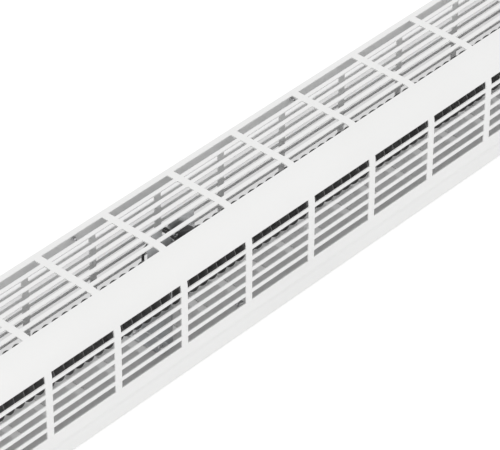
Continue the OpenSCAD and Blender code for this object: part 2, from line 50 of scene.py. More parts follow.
# camera, solved from the grid of slots in the photograph
cameraSet = {"place": (-1.6671, -1.4173, 1.6718), "azimuth": -47.90, "elevation": 37.32, "roll": 0.24,
             "lens": 253.3, "sensor": 36, "clip": (0.05, 60)}


def turned(degrees, axis):
    return Matrix.Rotation(math.radians(degrees), 4, axis)


def makeCamera(s):
    data = bpy.data.cameras.new("photoCamera")
    data.lens = s["lens"]
    data.sensor_width = s["sensor"]
    data.clip_start, data.clip_end = s["clip"]
    camera = bpy.data.objects.new("photoCamera", data)
    scene.collection.objects.link(camera)
    camera.matrix_world = (Matrix.Translation(s["place"]) @ turned(s["azimuth"], "Z")
                           @ turned(90 - s["elevation"], "X") @ turned(s["roll"], "Z"))
    scene.camera = camera


makeCamera(cameraSet)
scene.view_settings.view_transform = "Standard"
print("camera placed")


# helpers for the modelling
def objectMode():
    bpy.ops.object.mode_set(mode="OBJECT")


def deselect():
    if bpy.context.object and bpy.context.object.mode != "OBJECT":
        objectMode()
    bpy.ops.object.select_all(action="DESELECT")


def activate(piece):
    deselect()
    piece.select_set(True)
    bpy.context.view_layer.objects.active = piece


def editMode(piece, kind="FACE"):
    activate(piece)
    bpy.ops.object.mode_set(mode="EDIT")
    bpy.ops.mesh.select_mode(type=kind)
    bpy.ops.mesh.select_all(action="SELECT")


def pick(kind, test):
    # selects the parts of the open mesh for which the test is true
    bpy.ops.mesh.select_mode(type=kind)
    bpy.ops.mesh.select_all(action="DESELECT")
    mesh = bmesh.from_edit_mesh(bpy.context.object.data)
    parts = {"VERT": mesh.verts, "EDGE": mesh.edges, "FACE": mesh.faces}[kind]
    for part in [p for p in parts if test(p)]:
        part.select_set(True)
    mesh.select_flush_mode()
    bmesh.update_edit_mesh(bpy.context.object.data)


def extrude(step):
    bpy.ops.mesh.extrude_region_move(TRANSFORM_OT_translate={"value": step})


def bevelWhere(piece, kind, test, width, segments):
    # rounds the edges or the corners that the test finds
    editMode(piece)
    pick(kind, test)
    bpy.ops.mesh.bevel(offset=width, segments=segments, affect="EDGES" if kind == "EDGE" else "VERTICES")
    objectMode()


def punch(piece, test):
    # takes out the faces whose middle passes the test
    editMode(piece)
    pick("FACE", lambda f: test(f.calc_center_median()))
    bpy.ops.mesh.delete(type="FACE")
    objectMode()


def modify(piece, kind, **settings):
    activate(piece)
    bpy.ops.object.modifier_add(type=kind)
    modifier = piece.modifiers[-1]
    for key, value in settings.items():
        setattr(modifier, key, value)
    bpy.ops.object.modifier_apply(modifier=modifier.name)


def outward(piece, merge=0.002 * mm):
    editMode(piece)
    bpy.ops.mesh.remove_doubles(threshold=merge)
    bpy.ops.mesh.normals_make_consistent(inside=False)
    objectMode()


def smooth(piece, angle=35):
    activate(piece)
    bpy.ops.object.shade_smooth_by_angle(angle=math.radians(angle))


def evened(piece, angle):
    # smooth up to the angle, with the flats kept flat
    smooth(piece, angle)
    modify(piece, "WEIGHTED_NORMAL", keep_sharp=True, weight=80)


def soften(piece, width, segments=2, limit=40):
    # rounds every sharp edge a little
    modify(piece, "BEVEL", width=width, segments=segments, limit_method="ANGLE",
           angle_limit=math.radians(limit), miter_outer="MITER_ARC")
    evened(piece, 40)


def atOrigin(piece):
    activate(piece)
    bpy.ops.object.transform_apply(location=True, rotation=True, scale=True)


def joined(pieces):
    activate(pieces[0])
    for piece in pieces:
        piece.select_set(True)
    bpy.ops.object.join()
    return bpy.context.object


def copies(shape, places):
    # one copy of the shape for each matrix, joined; the shape itself goes
    twins = []
    for place in places:
        twin = shape.copy()
        twin.data = shape.data.copy()
        twin.data.transform(place)
        scene.collection.objects.link(twin)
        twins.append(twin)
    bpy.data.objects.remove(shape)
    return joined(twins)


def cutWith(piece, tool):
    modify(piece, "BOOLEAN", operation="DIFFERENCE", object=tool, solver="EXACT")
    bpy.data.objects.remove(tool)


def finishPiece(piece, name, finish, slotName, *nodes, body="casing"):
    # names the piece, gives it its finish and ties it to the frame
    piece.name = piece.data.name = name
    piece.data.materials.clear()
    piece.data.materials.append(look[finish])
    for face in piece.data.polygons:
        face.material_index = 0
    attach(piece, body)
    if nodes:
        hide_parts(*nodes)


def same(a, b):
    return abs(a - b) < tolerance


def edgesOf(starts, width):
    return [start + e for start in starts for e in (0, width)]


def inAny(value, starts, width):
    return any(start < value < start + width for start in starts)


def roundedPath(points, radii, steps=6, share=0.49, straight=math.radians(89.5)):
    # the points with an arc at each inner corner that has a radius, over at most that share of a side
    path = [Vector(points[0])]
    for k in range(1, len(points) - 1):
        corner = Vector(points[k])
        back = Vector(points[k - 1]) - corner
        ahead = Vector(points[k + 1]) - corner
        half = back.angle(ahead) / 2
        if radii[k] == 0 or half > straight:
            path.append(corner)
            continue
        reach = min(radii[k] / math.tan(half), share * back.length, share * ahead.length)
        radius = reach * math.tan(half)
        back.normalize()
        ahead.normalize()
        centre = corner + (back + ahead).normalized() * radius / math.sin(half)
        first = (corner + back * reach - centre).normalized()
        last = (corner + ahead * reach - centre).normalized()
        for step in range(steps + 1):
            path.append(centre + first.slerp(last, step / steps) * radius)
    path.append(Vector(points[-1]))
    return path


def splitPath(path, axis, values, gap=0.001 * mm):
    # adds a point wherever the path crosses one of the values
    result = [path[0]]
    for start, end in zip(path, path[1:]):
        low, high = sorted((start[axis], end[axis]))
        inside = [v for v in values if low + gap < v < high - gap]
        for value in sorted(inside, reverse=start[axis] > end[axis]):
            result.append(start.lerp(end, (value - start[axis]) / (end[axis] - start[axis])))
        result.append(end)
    return result


def drawPath(path):
    # one point, extruded from place to place
    deselect()
    bpy.ops.mesh.primitive_plane_add(size=mm, location=path[0])
    piece = bpy.context.object
    atOrigin(piece)
    editMode(piece, "VERT")
    bpy.ops.mesh.merge(type="CENTER")
    for start, end in zip(path, path[1:]):
        extrude(end - start)
    objectMode()
    return piece


def sweepSheet(path, stations, axis=0):
    # a folded sheet: its section drawn once and extruded along an axis, station by station
    section = [p.copy() for p in path]
    for point in section:
        point[axis] = stations[0]
    piece = drawPath(section)
    editMode(piece, "EDGE")
    for start, end in zip(stations, stations[1:]):
        step = Vector((0, 0, 0))
        step[axis] = end - start
        extrude(step)
    objectMode()
    return piece


def slab(ring, depth):
    # the ring filled and extruded along x
    piece = drawPath(ring)
    editMode(piece)
    bpy.ops.mesh.edge_face_add()
    extrude((depth, 0, 0))
    objectMode()
    outward(piece)
    return piece


def thicken(piece, thickness, test, direction):
    # points the sheet outwards at the face that the test finds, then gives it its thickness inwards
    editMode(piece)
    bpy.ops.mesh.normals_make_consistent(inside=False)
    mesh = bmesh.from_edit_mesh(piece.data)
    sample = next(f for f in mesh.faces if test(f.calc_center_median()))
    if sample.normal.dot(Vector(direction)) < 0:
        bpy.ops.mesh.flip_normals()
    objectMode()
    modify(piece, "SOLIDIFY", thickness=thickness, offset=-1, use_even_offset=True)


def lathe(profile, centre, axis, steps=48):
    # (radius, along) pairs in millimetres, spun round an axis through the centre
    axis = Vector(axis).normalized()
    side = axis.orthogonal().normalized()
    centre = Vector(centre)
    piece = drawPath([centre + side * (r * mm) + axis * (a * mm) for r, a in profile])
    editMode(piece, "EDGE")
    bpy.ops.mesh.spin(steps=steps, angle=2 * math.pi, center=centre, axis=axis)
    objectMode()
    outward(piece, 0.005 * mm)
    return piece


def block(low, high):
    # a box between two corners
    low, high = Vector(low), Vector(high)
    deselect()
    bpy.ops.mesh.primitive_cube_add(size=1, location=(low + high) / 2)
    piece = bpy.context.object
    piece.scale = high - low
    atOrigin(piece)
    return piece


def blockAt(x, z, halfX, halfZ, front, rear):
    # a box round a line along y
    return block((x - halfX, front, z - halfZ), (x + halfX, rear, z + halfZ))


def rodAlong(start, end, radius, vertices=32):
    start, end = Vector(start), Vector(end)
    deselect()
    bpy.ops.mesh.primitive_cylinder_add(vertices=vertices, radius=radius, depth=(end - start).length)
    piece = bpy.context.object
    turn = (end - start).to_track_quat("Z", "Y").to_matrix().to_4x4()
    piece.matrix_world = Matrix.Translation((start + end) / 2) @ turn
    atOrigin(piece)
    return piece


def bore(piece, centre, radius, vertices=32, axis=(0, 1, 0), reach=5 * mm):
    # a round hole through the piece
    centre, reach = Vector(centre), Vector(axis) * reach
    cutWith(piece, rodAlong(centre - reach, centre + reach, radius, vertices))


def tubeAlong(path, radius, roundness):
    # a round rod that follows the path
    activate(drawPath(path))
    bpy.ops.object.convert(target="CURVE")
    curve = bpy.context.object.data
    curve.bevel_depth = radius
    curve.bevel_resolution = roundness
    curve.use_fill_caps = True
    bpy.ops.object.convert(target="MESH")
    outward(bpy.context.object)
    return bpy.context.object


# finishes
def setInputs(tree, node, inputs):
    # an input gets a plain value or another node's output
    for key, value in inputs.items():
        if isinstance(value, bpy.types.NodeSocket):
            tree.links.new(value, node.inputs[key])
        else:
            node.inputs[key].default_value = value
    return node


def addNode(tree, kind, inputs, **settings):
    node = tree.nodes.new("ShaderNode" + kind)
    for key, value in settings.items():
        setattr(node, key, value)
    return setInputs(tree, node, inputs)


def noiseAt(tree, place, scale, detail, stretch=(1, 1, 1)):
    mapping = addNode(tree, "Mapping", {"Vector": place, "Scale": stretch})
    inputs = {"Vector": mapping.outputs["Vector"], "Scale": scale, "Detail": detail}
    return addNode(tree, "TexNoise", inputs).outputs["Fac"]


def ranged(tree, value, low, high):
    # nearly all of a noise lies between 0.3 and 0.7
    inputs = {"Value": value, "From Min": 0.3, "From Max": 0.7, "To Min": low, "To Max": high}
    return addNode(tree, "MapRange", inputs).outputs["Result"]


def makeFinish(name, colour, drift, driftScale, grainScale, rough, roughDrift, depth, metal=0,
               stretch=(1, 1, 1), strength=0.6):
    # colour that drifts a little, roughness that varies, and a fine grain in the surface
    material = bpy.data.materials.new(name)
    material.use_nodes = True
    tree = material.node_tree
    place = tree.nodes.new("ShaderNodeTexCoord").outputs["Object"]
    patches = ranged(tree, noiseAt(tree, place, driftScale, 3), 0, 1)
    dark = [c * (1 - drift) for c in colour] + [1]
    light = [min(1, c * (1 + drift)) for c in colour] + [1]
    paint = addNode(tree, "Mix", {"Factor": patches, "A": dark, "B": light}, data_type="RGBA")
    grain = noiseAt(tree, place, grainScale, 2, stretch)
    bump = addNode(tree, "Bump", {"Height": grain, "Strength": strength, "Distance": depth * mm})
    setInputs(tree, tree.nodes["Principled BSDF"], {
        "Base Color": paint.outputs["Result"],
        "Roughness": ranged(tree, grain, rough - roughDrift, rough + roughDrift),
        "Normal": bump.outputs["Normal"],
        "Metallic": metal,
    })
    return material


# each finish: colour, its drift, scales of drift and grain, roughness, its drift, depth of the grain in
# millimetres, then how metallic it is and how its grain is stretched
finishes = {
    "whiteEnamel": ((0.86, 0.86, 0.855), 0.008, 14, 1300, 0.42, 0.05, 0.03),
    "whiteMoulding": ((0.85, 0.85, 0.84), 0.008, 20, 2600, 0.48, 0.06, 0.03),
    "trayPaint": ((0.70, 0.70, 0.70), 0.02, 20, 1300, 0.45, 0.06, 0.03),
    "panelPaint": ((0.88, 0.88, 0.88), 0.015, 30, 900, 0.5, 0.08, 0.02),
    "platedSteel": ((0.62, 0.63, 0.64), 0.05, 120, 700, 0.36, 0.08, 0.01, 1, (1, 4, 4)),
    "brightSteel": ((0.72, 0.72, 0.73), 0.03, 300, 1500, 0.28, 0.06, 0.01, 1),
    "heatedSteel": ((0.30, 0.28, 0.27), 0.15, 60, 900, 0.45, 0.08, 0.02, 1, (0.2, 1, 1)),
    "blackFinCoat": ((0.115, 0.115, 0.115), 0.25, 90, 1600, 0.42, 0.08, 0.04),
    # the fins' rim band, lighter and half metallic, is a painted highlight
    "finRimHighlight": ((0.20, 0.20, 0.20), 0.15, 90, 1600, 0.40, 0.08, 0.02, 0.5),
    "ceramic": ((0.78, 0.75, 0.66), 0.03, 200, 3000, 0.6, 0.08, 0.03),
    "blackMoulding": ((0.020, 0.020, 0.020), 0.12, 120, 3000, 0.45, 0.07, 0.03),
    "cutoutMoulding": ((0.075, 0.075, 0.075), 0.12, 120, 3000, 0.45, 0.07, 0.03),
    "glossBlack": ((0.012, 0.012, 0.012), 0.1, 100, 2500, 0.16, 0.03, 0.005),
    "blackRubber": ((0.030, 0.030, 0.030), 0.15, 200, 2200, 0.75, 0.08, 0.06),
    "brass": ((0.66, 0.48, 0.20), 0.06, 200, 1500, 0.3, 0.06, 0.01, 1),
    "creamMoulding": ((0.74, 0.70, 0.58), 0.02, 120, 2500, 0.35, 0.05, 0.02),
    "dialWhite": ((0.83, 0.83, 0.83), 0.008, 60, 2000, 0.38, 0.05, 0.01),
    "printGrey": ((0.10, 0.10, 0.11), 0.05, 200, 2500, 0.5, 0.05, 0.005),
    "printWhite": ((0.80, 0.80, 0.80), 0.02, 200, 2500, 0.45, 0.05, 0.005),
    "brownSleeve": ((0.13, 0.045, 0.018), 0.08, 80, 2500, 0.4, 0.06, 0.02),
    "blueSleeve": ((0.02, 0.06, 0.30), 0.08, 80, 2500, 0.4, 0.06, 0.02),
    "greenSleeve": ((0.10, 0.24, 0.03), 0.08, 80, 2500, 0.4, 0.06, 0.02),
    "blackSleeve": ((0.050, 0.050, 0.050), 0.15, 80, 2500, 0.42, 0.06, 0.03),
}
look = {name: makeFinish(name, *values) for name, values in finishes.items()}
print("finishes made")


# cover: one folded sheet, its slots punched before it gets its thickness
coverSet = {
    "bays": 13, "bayPitch": 70 * mm, "ribWidth": 6.8 * mm, "leftMargin": 20 * mm, "capThickness": 4 * mm,
    "rows": 6, "slotWidth": 6.8 * mm, "frontPitch": 10.2 * mm, "frontRow": 30.5 * mm,
    "topPitch": 10.4 * mm, "topRowEdge": 79.9 * mm, "sheet": 1 * mm, "edge": 0.22 * mm,
    "bend": 28 * mm, "bendSteps": 14, "frontShare": 0.3, "topShare": 0.5, "rearBend": 1.5 * mm,
    "foldRadius": 1.8 * mm, "joggleRadius": 5 * mm, "joggleLow": 15.5 * mm, "joggleHigh": 19 * mm,
    "hem": 8 * mm, "skirtIn": 1.2 * mm, "lip": 9.5 * mm,
    "knobHole": 5 * mm, "switchHole": (13.2 * mm, 19.4 * mm), "cutReach": 3 * mm,
}
coverLow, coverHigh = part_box("cover")
frontY, rearY, topZ = coverLow.y, coverHigh.y, coverHigh.z
grilleX = coverLow.x - coverSet["capThickness"] + coverSet["leftMargin"]
shaftLow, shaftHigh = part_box("thermostat_shaft")
knobCentre = (shaftLow + shaftHigh) / 2
switchLow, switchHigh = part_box("switch_housing")
switchCentre = (switchLow + switchHigh) / 2


def coverPath(s):
    # the section, split where its slots begin and end, and where the rows of slots start
    skirtY = frontY + s["skirtIn"]
    corners = [(0, skirtY + s["hem"], coverLow.z), (0, skirtY, coverLow.z), (0, skirtY, s["joggleLow"]),
               (0, frontY, s["joggleHigh"]), (0, frontY, topZ), (0, rearY, topZ), (0, rearY, topZ - s["lip"])]
    radii = [0, s["foldRadius"], s["joggleRadius"], s["joggleRadius"], s["bend"], s["rearBend"], 0]
    path = roundedPath(corners, radii, s["bendSteps"])
    rowsUp = [s["frontRow"] + k * s["frontPitch"] for k in range(s["rows"])]
    rowsBack = [frontY + s["topRowEdge"] - s["slotWidth"] - k * s["topPitch"] for k in range(s["rows"])]
    foldAt = next(k for k, p in enumerate(path)
                  if p.y - frontY > s["bend"] * s["frontShare"] and p.z > topZ - s["bend"])
    front = splitPath(path[:foldAt + 1], 2, edgesOf(rowsUp, s["slotWidth"]))
    top = splitPath(path[foldAt:], 1, edgesOf(rowsBack, s["slotWidth"]))
    return front + top[1:], rowsUp, rowsBack


def makeCover(s):
    path, rowsUp, rowsBack = coverPath(s)
    lefts = [grilleX + bay * s["bayPitch"] + s["ribWidth"] / 2 for bay in range(s["bays"])]
    wide = s["bayPitch"] - s["ribWidth"]
    piece = sweepSheet(path, [coverLow.x] + edgesOf(lefts, wide) + [coverHigh.x])

    def inSlot(c):
        if not inAny(c.x, lefts, wide):
            return False
        if c.y < frontY + s["bend"] * s["frontShare"]:
            return inAny(c.z, rowsUp, s["slotWidth"])
        return c.z > topZ - s["bend"] * s["topShare"] and inAny(c.y, rowsBack, s["slotWidth"])

    punch(piece, inSlot)
    thicken(piece, s["sheet"], lambda c: same(c.z, topZ), (0, 0, 1))
    bore(piece, (knobCentre.x, frontY, knobCentre.z), s["knobHole"], 48, reach=s["cutReach"])
    holeWide, holeTall = s["switchHole"]
    cutWith(piece, blockAt(switchCentre.x, switchCentre.z, holeWide / 2, holeTall / 2,
                           frontY - s["cutReach"], frontY + s["cutReach"]))
    soften(piece, s["edge"])
    finishPiece(piece, "slottedCover", "whiteEnamel", "white_enamel", "cover")


makeCover(coverSet)
print("cover folded")


# where the two legs of the element run, behind the front face and above the floor
elementSet = {"legs": (34.5 * mm, 49.5 * mm), "height": 57.25 * mm}

# fins: one pressed plate with its two collars, then the row of copies; a lighter band round each rim is a
# painted highlight
finSet = {"pitch": 10.1 * mm, "thickness": 0.6 * mm, "sides": 32, "pressIn": 1.6 * mm,
          "pressDepth": 0.25 * mm, "collarRadius": 5.3 * mm, "collarLength": 1.8 * mm, "collarSides": 14,
          "rim": 0.12 * mm, "highlightBand": 0.35 * mm}


def makeFins(s):
    low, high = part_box("element_fins")
    centre = (low + high) / 2
    radius = (high.z - low.z) / 2
    halfGap = (elementSet["legs"][1] - elementSet["legs"][0]) / 2
    count = round((high.x - low.x - s["thickness"]) / s["pitch"]) + 1
    first = Vector((low.x + s["thickness"] / 2, centre.y, centre.z))
    deselect()
    bpy.ops.mesh.primitive_cylinder_add(vertices=s["sides"], radius=radius, depth=s["thickness"])
    plate = bpy.context.object
    upright = turned(90, "Y") @ turned(180 / s["sides"], "Z")
    plate.matrix_world = Matrix.Translation(first) @ upright
    atOrigin(plate)
    editMode(plate)
    for side in (-1, 1):
        pick("VERT", lambda v: (v.co.y - first.y) * side > 0)
        bpy.ops.transform.translate(value=(0, side * halfGap, 0))
    objectMode()
    bevelWhere(plate, "EDGE", lambda e: same(e.verts[0].co.x, e.verts[1].co.x), s["rim"], 1)
    editMode(plate)
    for side in (-1, 1):
        pick("FACE", lambda f: f.normal.x * side > 0.99)
        bpy.ops.mesh.inset(thickness=s["pressIn"], depth=side * s["pressDepth"])
    objectMode()
    legs = [Vector((first.x, first.y + side * halfGap, first.z)) for side in (-1, 1)]
    half = Vector((s["collarLength"] / 2, 0, 0))
    collars = [rodAlong(leg - half, leg + half, s["collarRadius"], s["collarSides"]) for leg in legs]
    fin = joined([plate] + collars)
    smooth(fin, 50)
    modify(fin, "ARRAY", count=count, use_relative_offset=False, use_constant_offset=True,
           constant_offset_displace=(s["pitch"], 0, 0))
    finishPiece(fin, "finRow", "blackFinCoat", "black_fin", "element_fins")
    # the second finish, a painted rim highlight, goes on the faces within the band round each fin's rim
    fin.data.materials.append(look["finRimHighlight"])
    for face in fin.data.polygons:
        across = max(abs(face.center.y - centre.y) - halfGap, 0)
        if math.hypot(across, face.center.z - centre.z) > radius - s["highlightBand"]:
            face.material_index = 1


makeFins(finSet)
print("fins pressed")


# rear panel: one sheet with its rows of openings and two folded ends
panelSet = {
    "thickness": 1 * mm, "slotTall": 7.5 * mm, "pitch": 10.6 * mm, "topRow": 89.6 * mm, "rows": 7,
    "ribWidth": 7 * mm, "shift": 9.7 * mm, "flangeLow": 31 * mm, "flangeHigh": 103 * mm, "fold": 1.6 * mm,
    "entry": (0.470, 0.033), "entryRadius": 8 * mm, "edge": 0.15 * mm,
}


def makePanel(s):
    low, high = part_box("rear_panel")
    corners = [(low.x, low.y, low.z), (low.x, high.y, low.z), (high.x, high.y, low.z), (high.x, low.y, low.z)]
    first = grilleX + s["ribWidth"] / 2 - s["shift"]
    lefts = [first + bay * coverSet["bayPitch"] for bay in range(coverSet["bays"])]
    wide = coverSet["bayPitch"] - s["ribWidth"]
    path = splitPath(roundedPath(corners, [0, s["fold"], s["fold"], 0], 4), 0, edgesOf(lefts, wide))
    rows = [s["topRow"] - k * s["pitch"] for k in range(s["rows"])]
    stations = [low.z, s["flangeLow"], s["flangeHigh"], high.z] + edgesOf(rows, s["slotTall"])
    piece = sweepSheet(path, sorted(stations), 2)

    def spare(c):
        if c.y < high.y - 2 * tolerance:
            return not s["flangeLow"] < c.z < s["flangeHigh"]
        return inAny(c.x, lefts, wide) and inAny(c.z, rows, s["slotTall"])

    punch(piece, spare)
    thicken(piece, s["thickness"], lambda c: same(c.y, high.y), (0, 1, 0))
    bore(piece, (s["entry"][0], high.y, s["entry"][1]), s["entryRadius"], 40)
    soften(piece, s["edge"], 1)
    finishPiece(piece, "rearGrille", "panelPaint", "panel_white", "rear_panel")


makePanel(panelSet)
print("rear panel folded")


# tray: folded up on four sides, air inlets punched through its floor
traySet = {
    "thickness": 1 * mm, "frontLip": 19 * mm, "rearLip": 23 * mm, "fold": 1.8 * mm, "firstInlet": -0.446,
    "pitch": 33 * mm, "inlets": 26, "inletWidth": 8 * mm, "inletSpan": (37 * mm, 61 * mm),
    "sideSpan": (8 * mm, 78 * mm), "sideLip": 16 * mm, "edge": 0.18 * mm,
}


def makeTray(s):
    low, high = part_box("base_tray")
    corners = [(0, low.y, s["frontLip"]), (0, low.y, low.z), (0, high.y, low.z), (0, high.y, s["rearLip"])]
    inletFront, inletRear = (frontY + y for y in s["inletSpan"])
    sideFront, sideRear = (frontY + y for y in s["sideSpan"])
    path = splitPath(roundedPath(corners, [0, s["fold"], s["fold"], 0], 5), 1,
                     [inletFront, inletRear, sideFront, sideRear])
    lefts = [s["firstInlet"] + k * s["pitch"] - s["inletWidth"] / 2 for k in range(s["inlets"])]
    piece = sweepSheet(path, [low.x] + edgesOf(lefts, s["inletWidth"]) + [high.x])
    punch(piece, lambda c: same(c.z, low.z) and inletFront < c.y < inletRear
          and inAny(c.x, lefts, s["inletWidth"]))

    def onSide(v, end):
        along = sideFront - tolerance < v.co.y < sideRear + tolerance
        return along and same(v.co.x, end) and same(v.co.z, low.z)

    editMode(piece)
    for end in (low.x, high.x):
        pick("EDGE", lambda e: all(onSide(v, end) for v in e.verts))
        extrude((0, 0, s["sideLip"]))
    objectMode()
    thicken(piece, s["thickness"], lambda c: same(c.z, low.z), (0, 0, -1))
    soften(piece, s["edge"], 1)
    finishPiece(piece, "airTray", "trayPaint", "tray_steel", "base_tray")


makeTray(traySet)
print("tray folded")


# end caps: a moulded plate with a soft rim, a shallow panel and sunk screws
capSet = {
    "steps": 14, "foot": 2 * mm, "rearCorner": 3 * mm, "edge": 1.1 * mm, "panelIn": 3.5 * mm,
    "panelDepth": 0.7 * mm, "panelFillet": 0.5 * mm, "pocketReach": 3 * mm, "screwSink": 3.4 * mm,
    "sinkDepth": 2 * mm, "sinkReach": 2 * mm,
    "screws": [(20 * mm, 16 * mm), (66 * mm, 16 * mm), (79 * mm, 93 * mm)],
    "flange": 8 * mm, "flangeIn": 1.4 * mm, "flangeThickness": 2 * mm, "flangeLow": 27 * mm,
    "flangeRear": 78 * mm, "flangeEdge": 0.3 * mm,
}


def capOutline(x, inset, s):
    # the casing's section as a closed ring, drawn in by the inset
    front, rear, top = frontY + inset, rearY - inset, topZ - inset
    corners = [(x, front, s["foot"] + inset), (x, front, top), (x, rear, top), (x, rear, s["foot"] + inset)]
    return roundedPath(corners, [0, coverSet["bend"] - inset, s["rearCorner"], 0], s["steps"])


def makeCap(side, name, node, s):
    outer = coverHigh.x * side
    rim = outer + side * coverSet["capThickness"]
    floor = rim - side * s["panelDepth"]
    plate = slab(capOutline(outer, 0, s), side * coverSet["capThickness"])
    bevelWhere(plate, "EDGE", lambda e: all(same(v.co.x, rim) for v in e.verts), s["edge"], 4)
    pocket = slab(capOutline(floor, s["panelIn"], s), side * s["pocketReach"])
    bevelWhere(pocket, "EDGE", lambda e: all(same(v.co.x, floor) for v in e.verts), s["panelFillet"], 4)
    cutWith(plate, pocket)
    for y, z in s["screws"]:
        inner, outside = rim - side * s["sinkDepth"], rim + side * s["sinkReach"]
        cutWith(plate, rodAlong((inner, frontY + y, z), (outside, frontY + y, z), s["screwSink"]))
    evened(plate, 28)

    front, top = frontY + s["flangeIn"], topZ - s["flangeIn"]
    corners = [(outer, front, s["flangeLow"]), (outer, front, top), (outer, frontY + s["flangeRear"], top)]
    path = roundedPath(corners, [0, coverSet["bend"] - s["flangeIn"], 0], s["steps"])
    flange = sweepSheet(path, [outer, outer - side * s["flange"]])
    thicken(flange, s["flangeThickness"], lambda c: c.z > top - tolerance, (0, 0, 1))
    soften(flange, s["flangeEdge"])
    finishPiece(joined([plate, flange]), name, "whiteMoulding", "white_cap", node)


makeCap(-1, "leftEndCap", "left_end_cap", capSet)
makeCap(1, "rightEndCap", "right_end_cap", capSet)
print("end caps moulded")


# brackets: folded from thicker sheet
bracketSet = {
    "thickness": 1.2 * mm, "fold": 2.4 * mm, "uprightFrom": 20 * mm, "aboveLegs": 10 * mm, "corner": 5 * mm,
    "bushHole": 6 * mm, "cutReach": 4 * mm, "edge": 0.12 * mm, "tab": (34 * mm, 48 * mm), "tabTop": 94 * mm,
    "tabCorner": 2 * mm,
}


def makeBracket(name, node, side, s, tab=False):
    low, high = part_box(node)
    top = elementSet["height"] + s["aboveLegs"]
    outer, toe = (low.x, high.x) if side > 0 else (high.x, low.x)
    path = roundedPath([(toe, 0, low.z), (outer, 0, low.z), (outer, 0, top)], [0, s["fold"], 0])
    marks = [frontY + y for y in s["tab"]] if tab else []
    piece = sweepSheet(path, [low.y] + marks + [high.y], 1)

    def underTab(v):
        return v.co.z > top - tolerance and marks[0] - tolerance < v.co.y < marks[1] + tolerance

    def corner(v):
        return v.co.z > top - tolerance and (same(v.co.y, low.y) or same(v.co.y, high.y))

    if tab:
        editMode(piece)
        pick("EDGE", lambda e: all(underTab(v) for v in e.verts))
        extrude((0, 0, s["tabTop"] - top))
        objectMode()
    bevelWhere(piece, "VERT", corner, s["corner"], 5)
    if tab:
        bevelWhere(piece, "VERT", lambda v: v.co.z > s["tabTop"] - tolerance, s["tabCorner"], 4)
    thicken(piece, s["thickness"], lambda c: c.z > s["uprightFrom"], (-side, 0, 0))
    for y in elementSet["legs"]:
        centre = (outer, frontY + y, elementSet["height"])
        bore(piece, centre, s["bushHole"], axis=(1, 0, 0), reach=s["cutReach"])
    soften(piece, s["edge"], 1)
    finishPiece(piece, name, "platedSteel", "zinc_steel", node)


makeBracket("leftBracket", "element_bracket_left", -1, bracketSet)
makeBracket("middleBracket", "element_bracket_middle", -1, bracketSet, True)
makeBracket("rightBracket", "element_bracket_right", 1, bracketSet)
print("brackets folded")


# the plate beside the element that holds the thermal cut-out
plateSet = {
    "cutX": -0.16315, "cutZ": 85 * mm, "thickness": 1.2 * mm, "fold": 2 * mm, "flangeLow": 78 * mm,
    "flangeHigh": 92 * mm, "cupHole": 5 * mm, "wireHoleX": -0.18115, "wireHoleZ": 97 * mm,
    "wireHole": 4 * mm, "corner": 3 * mm, "edge": 0.12 * mm,
}


def makeCutoutPlate(s):
    low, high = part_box("cutout_bracket")
    path = roundedPath([(low.x, low.y, 0), (low.x, high.y, 0), (high.x, high.y, 0)], [0, s["fold"], 0])
    piece = sweepSheet(path, [low.z, s["flangeLow"], s["flangeHigh"], high.z], 2)

    def corner(v):
        return same(v.co.x, high.x) and (same(v.co.z, low.z) or same(v.co.z, high.z))

    punch(piece, lambda c: c.y < high.y - tolerance and not s["flangeLow"] < c.z < s["flangeHigh"])
    bevelWhere(piece, "VERT", corner, s["corner"], 5)
    thicken(piece, s["thickness"], lambda c: same(c.y, high.y), (0, 1, 0))
    bore(piece, (s["cutX"], high.y, s["cutZ"]), s["cupHole"])
    bore(piece, (s["wireHoleX"], high.y, s["wireHoleZ"]), s["wireHole"])
    soften(piece, s["edge"], 1)
    finishPiece(piece, "cutoutPlate", "platedSteel", "zinc_steel", "cutout_bracket")


makeCutoutPlate(plateSet)

# thermal cut-out: moulded body, metal cup with two ears, two flat tabs
cutoutSet = {
    "body": [(0, 36.8), (4.9, 36.8), (5.3, 36), (6.8, 36), (7.5, 36.7), (7.5, 41.4), (7, 41.8), (7, 44.4),
             (0, 44.4)],
    "cup": [(0, 44.4), (7.5, 44.4), (7.5, 46), (4.9, 46), (4.9, 46.6), (4.5, 47), (0, 47)],
    "earReach": 12.4 * mm, "earHalf": 4 * mm, "earFront": 45 * mm, "earRear": 46 * mm, "earCorner": 3 * mm,
    "earEdge": 0.15 * mm, "tabX": 3 * mm, "tabHalf": 3 * mm, "tabFront": 28 * mm, "tabRear": 37 * mm,
    "tabThickness": 0.8 * mm, "tabCorner": 1.2 * mm, "tabEdge": 0.1 * mm,
}


def makeCutout(s):
    x, z = plateSet["cutX"], plateSet["cutZ"]
    body = lathe(s["body"], (x, frontY, z), (0, 1, 0), 40)
    smooth(body)
    finishPiece(body, "cutoutBody", "cutoutMoulding", "black_moulding", "thermal_cutout")
    ears = blockAt(x, z, s["earReach"], s["earHalf"], frontY + s["earFront"], frontY + s["earRear"])
    bevelWhere(ears, "EDGE", lambda e: not same(e.verts[0].co.y, e.verts[1].co.y), s["earCorner"], 6)
    soften(ears, s["earEdge"], 1)
    cup = lathe(s["cup"], (x, frontY, z), (0, 1, 0), 40)
    smooth(cup)
    front, rear = frontY + s["tabFront"], frontY + s["tabRear"]
    tabs = []
    for side in (-1, 1):
        tab = blockAt(x + side * s["tabX"], z, s["tabThickness"] / 2, s["tabHalf"], front, rear)
        bevelWhere(tab, "EDGE", lambda e: all(same(v.co.y, front) for v in e.verts)
                   and not same(e.verts[0].co.x, e.verts[1].co.x), s["tabCorner"], 2)
        soften(tab, s["tabEdge"], 1)
        tabs.append(tab)
    finishPiece(joined([ears, cup] + tabs), "cutoutCup", "brightSteel", "screw_steel")


makeCutout(cutoutSet)
print("cut-out fitted")


# element tube, its ceramic bushes, and the leads with smooth bends
tubeSet = {"radius": 4 * mm, "bendX": -0.484, "endX": 0.440, "bendSteps": 20, "roundness": 5}


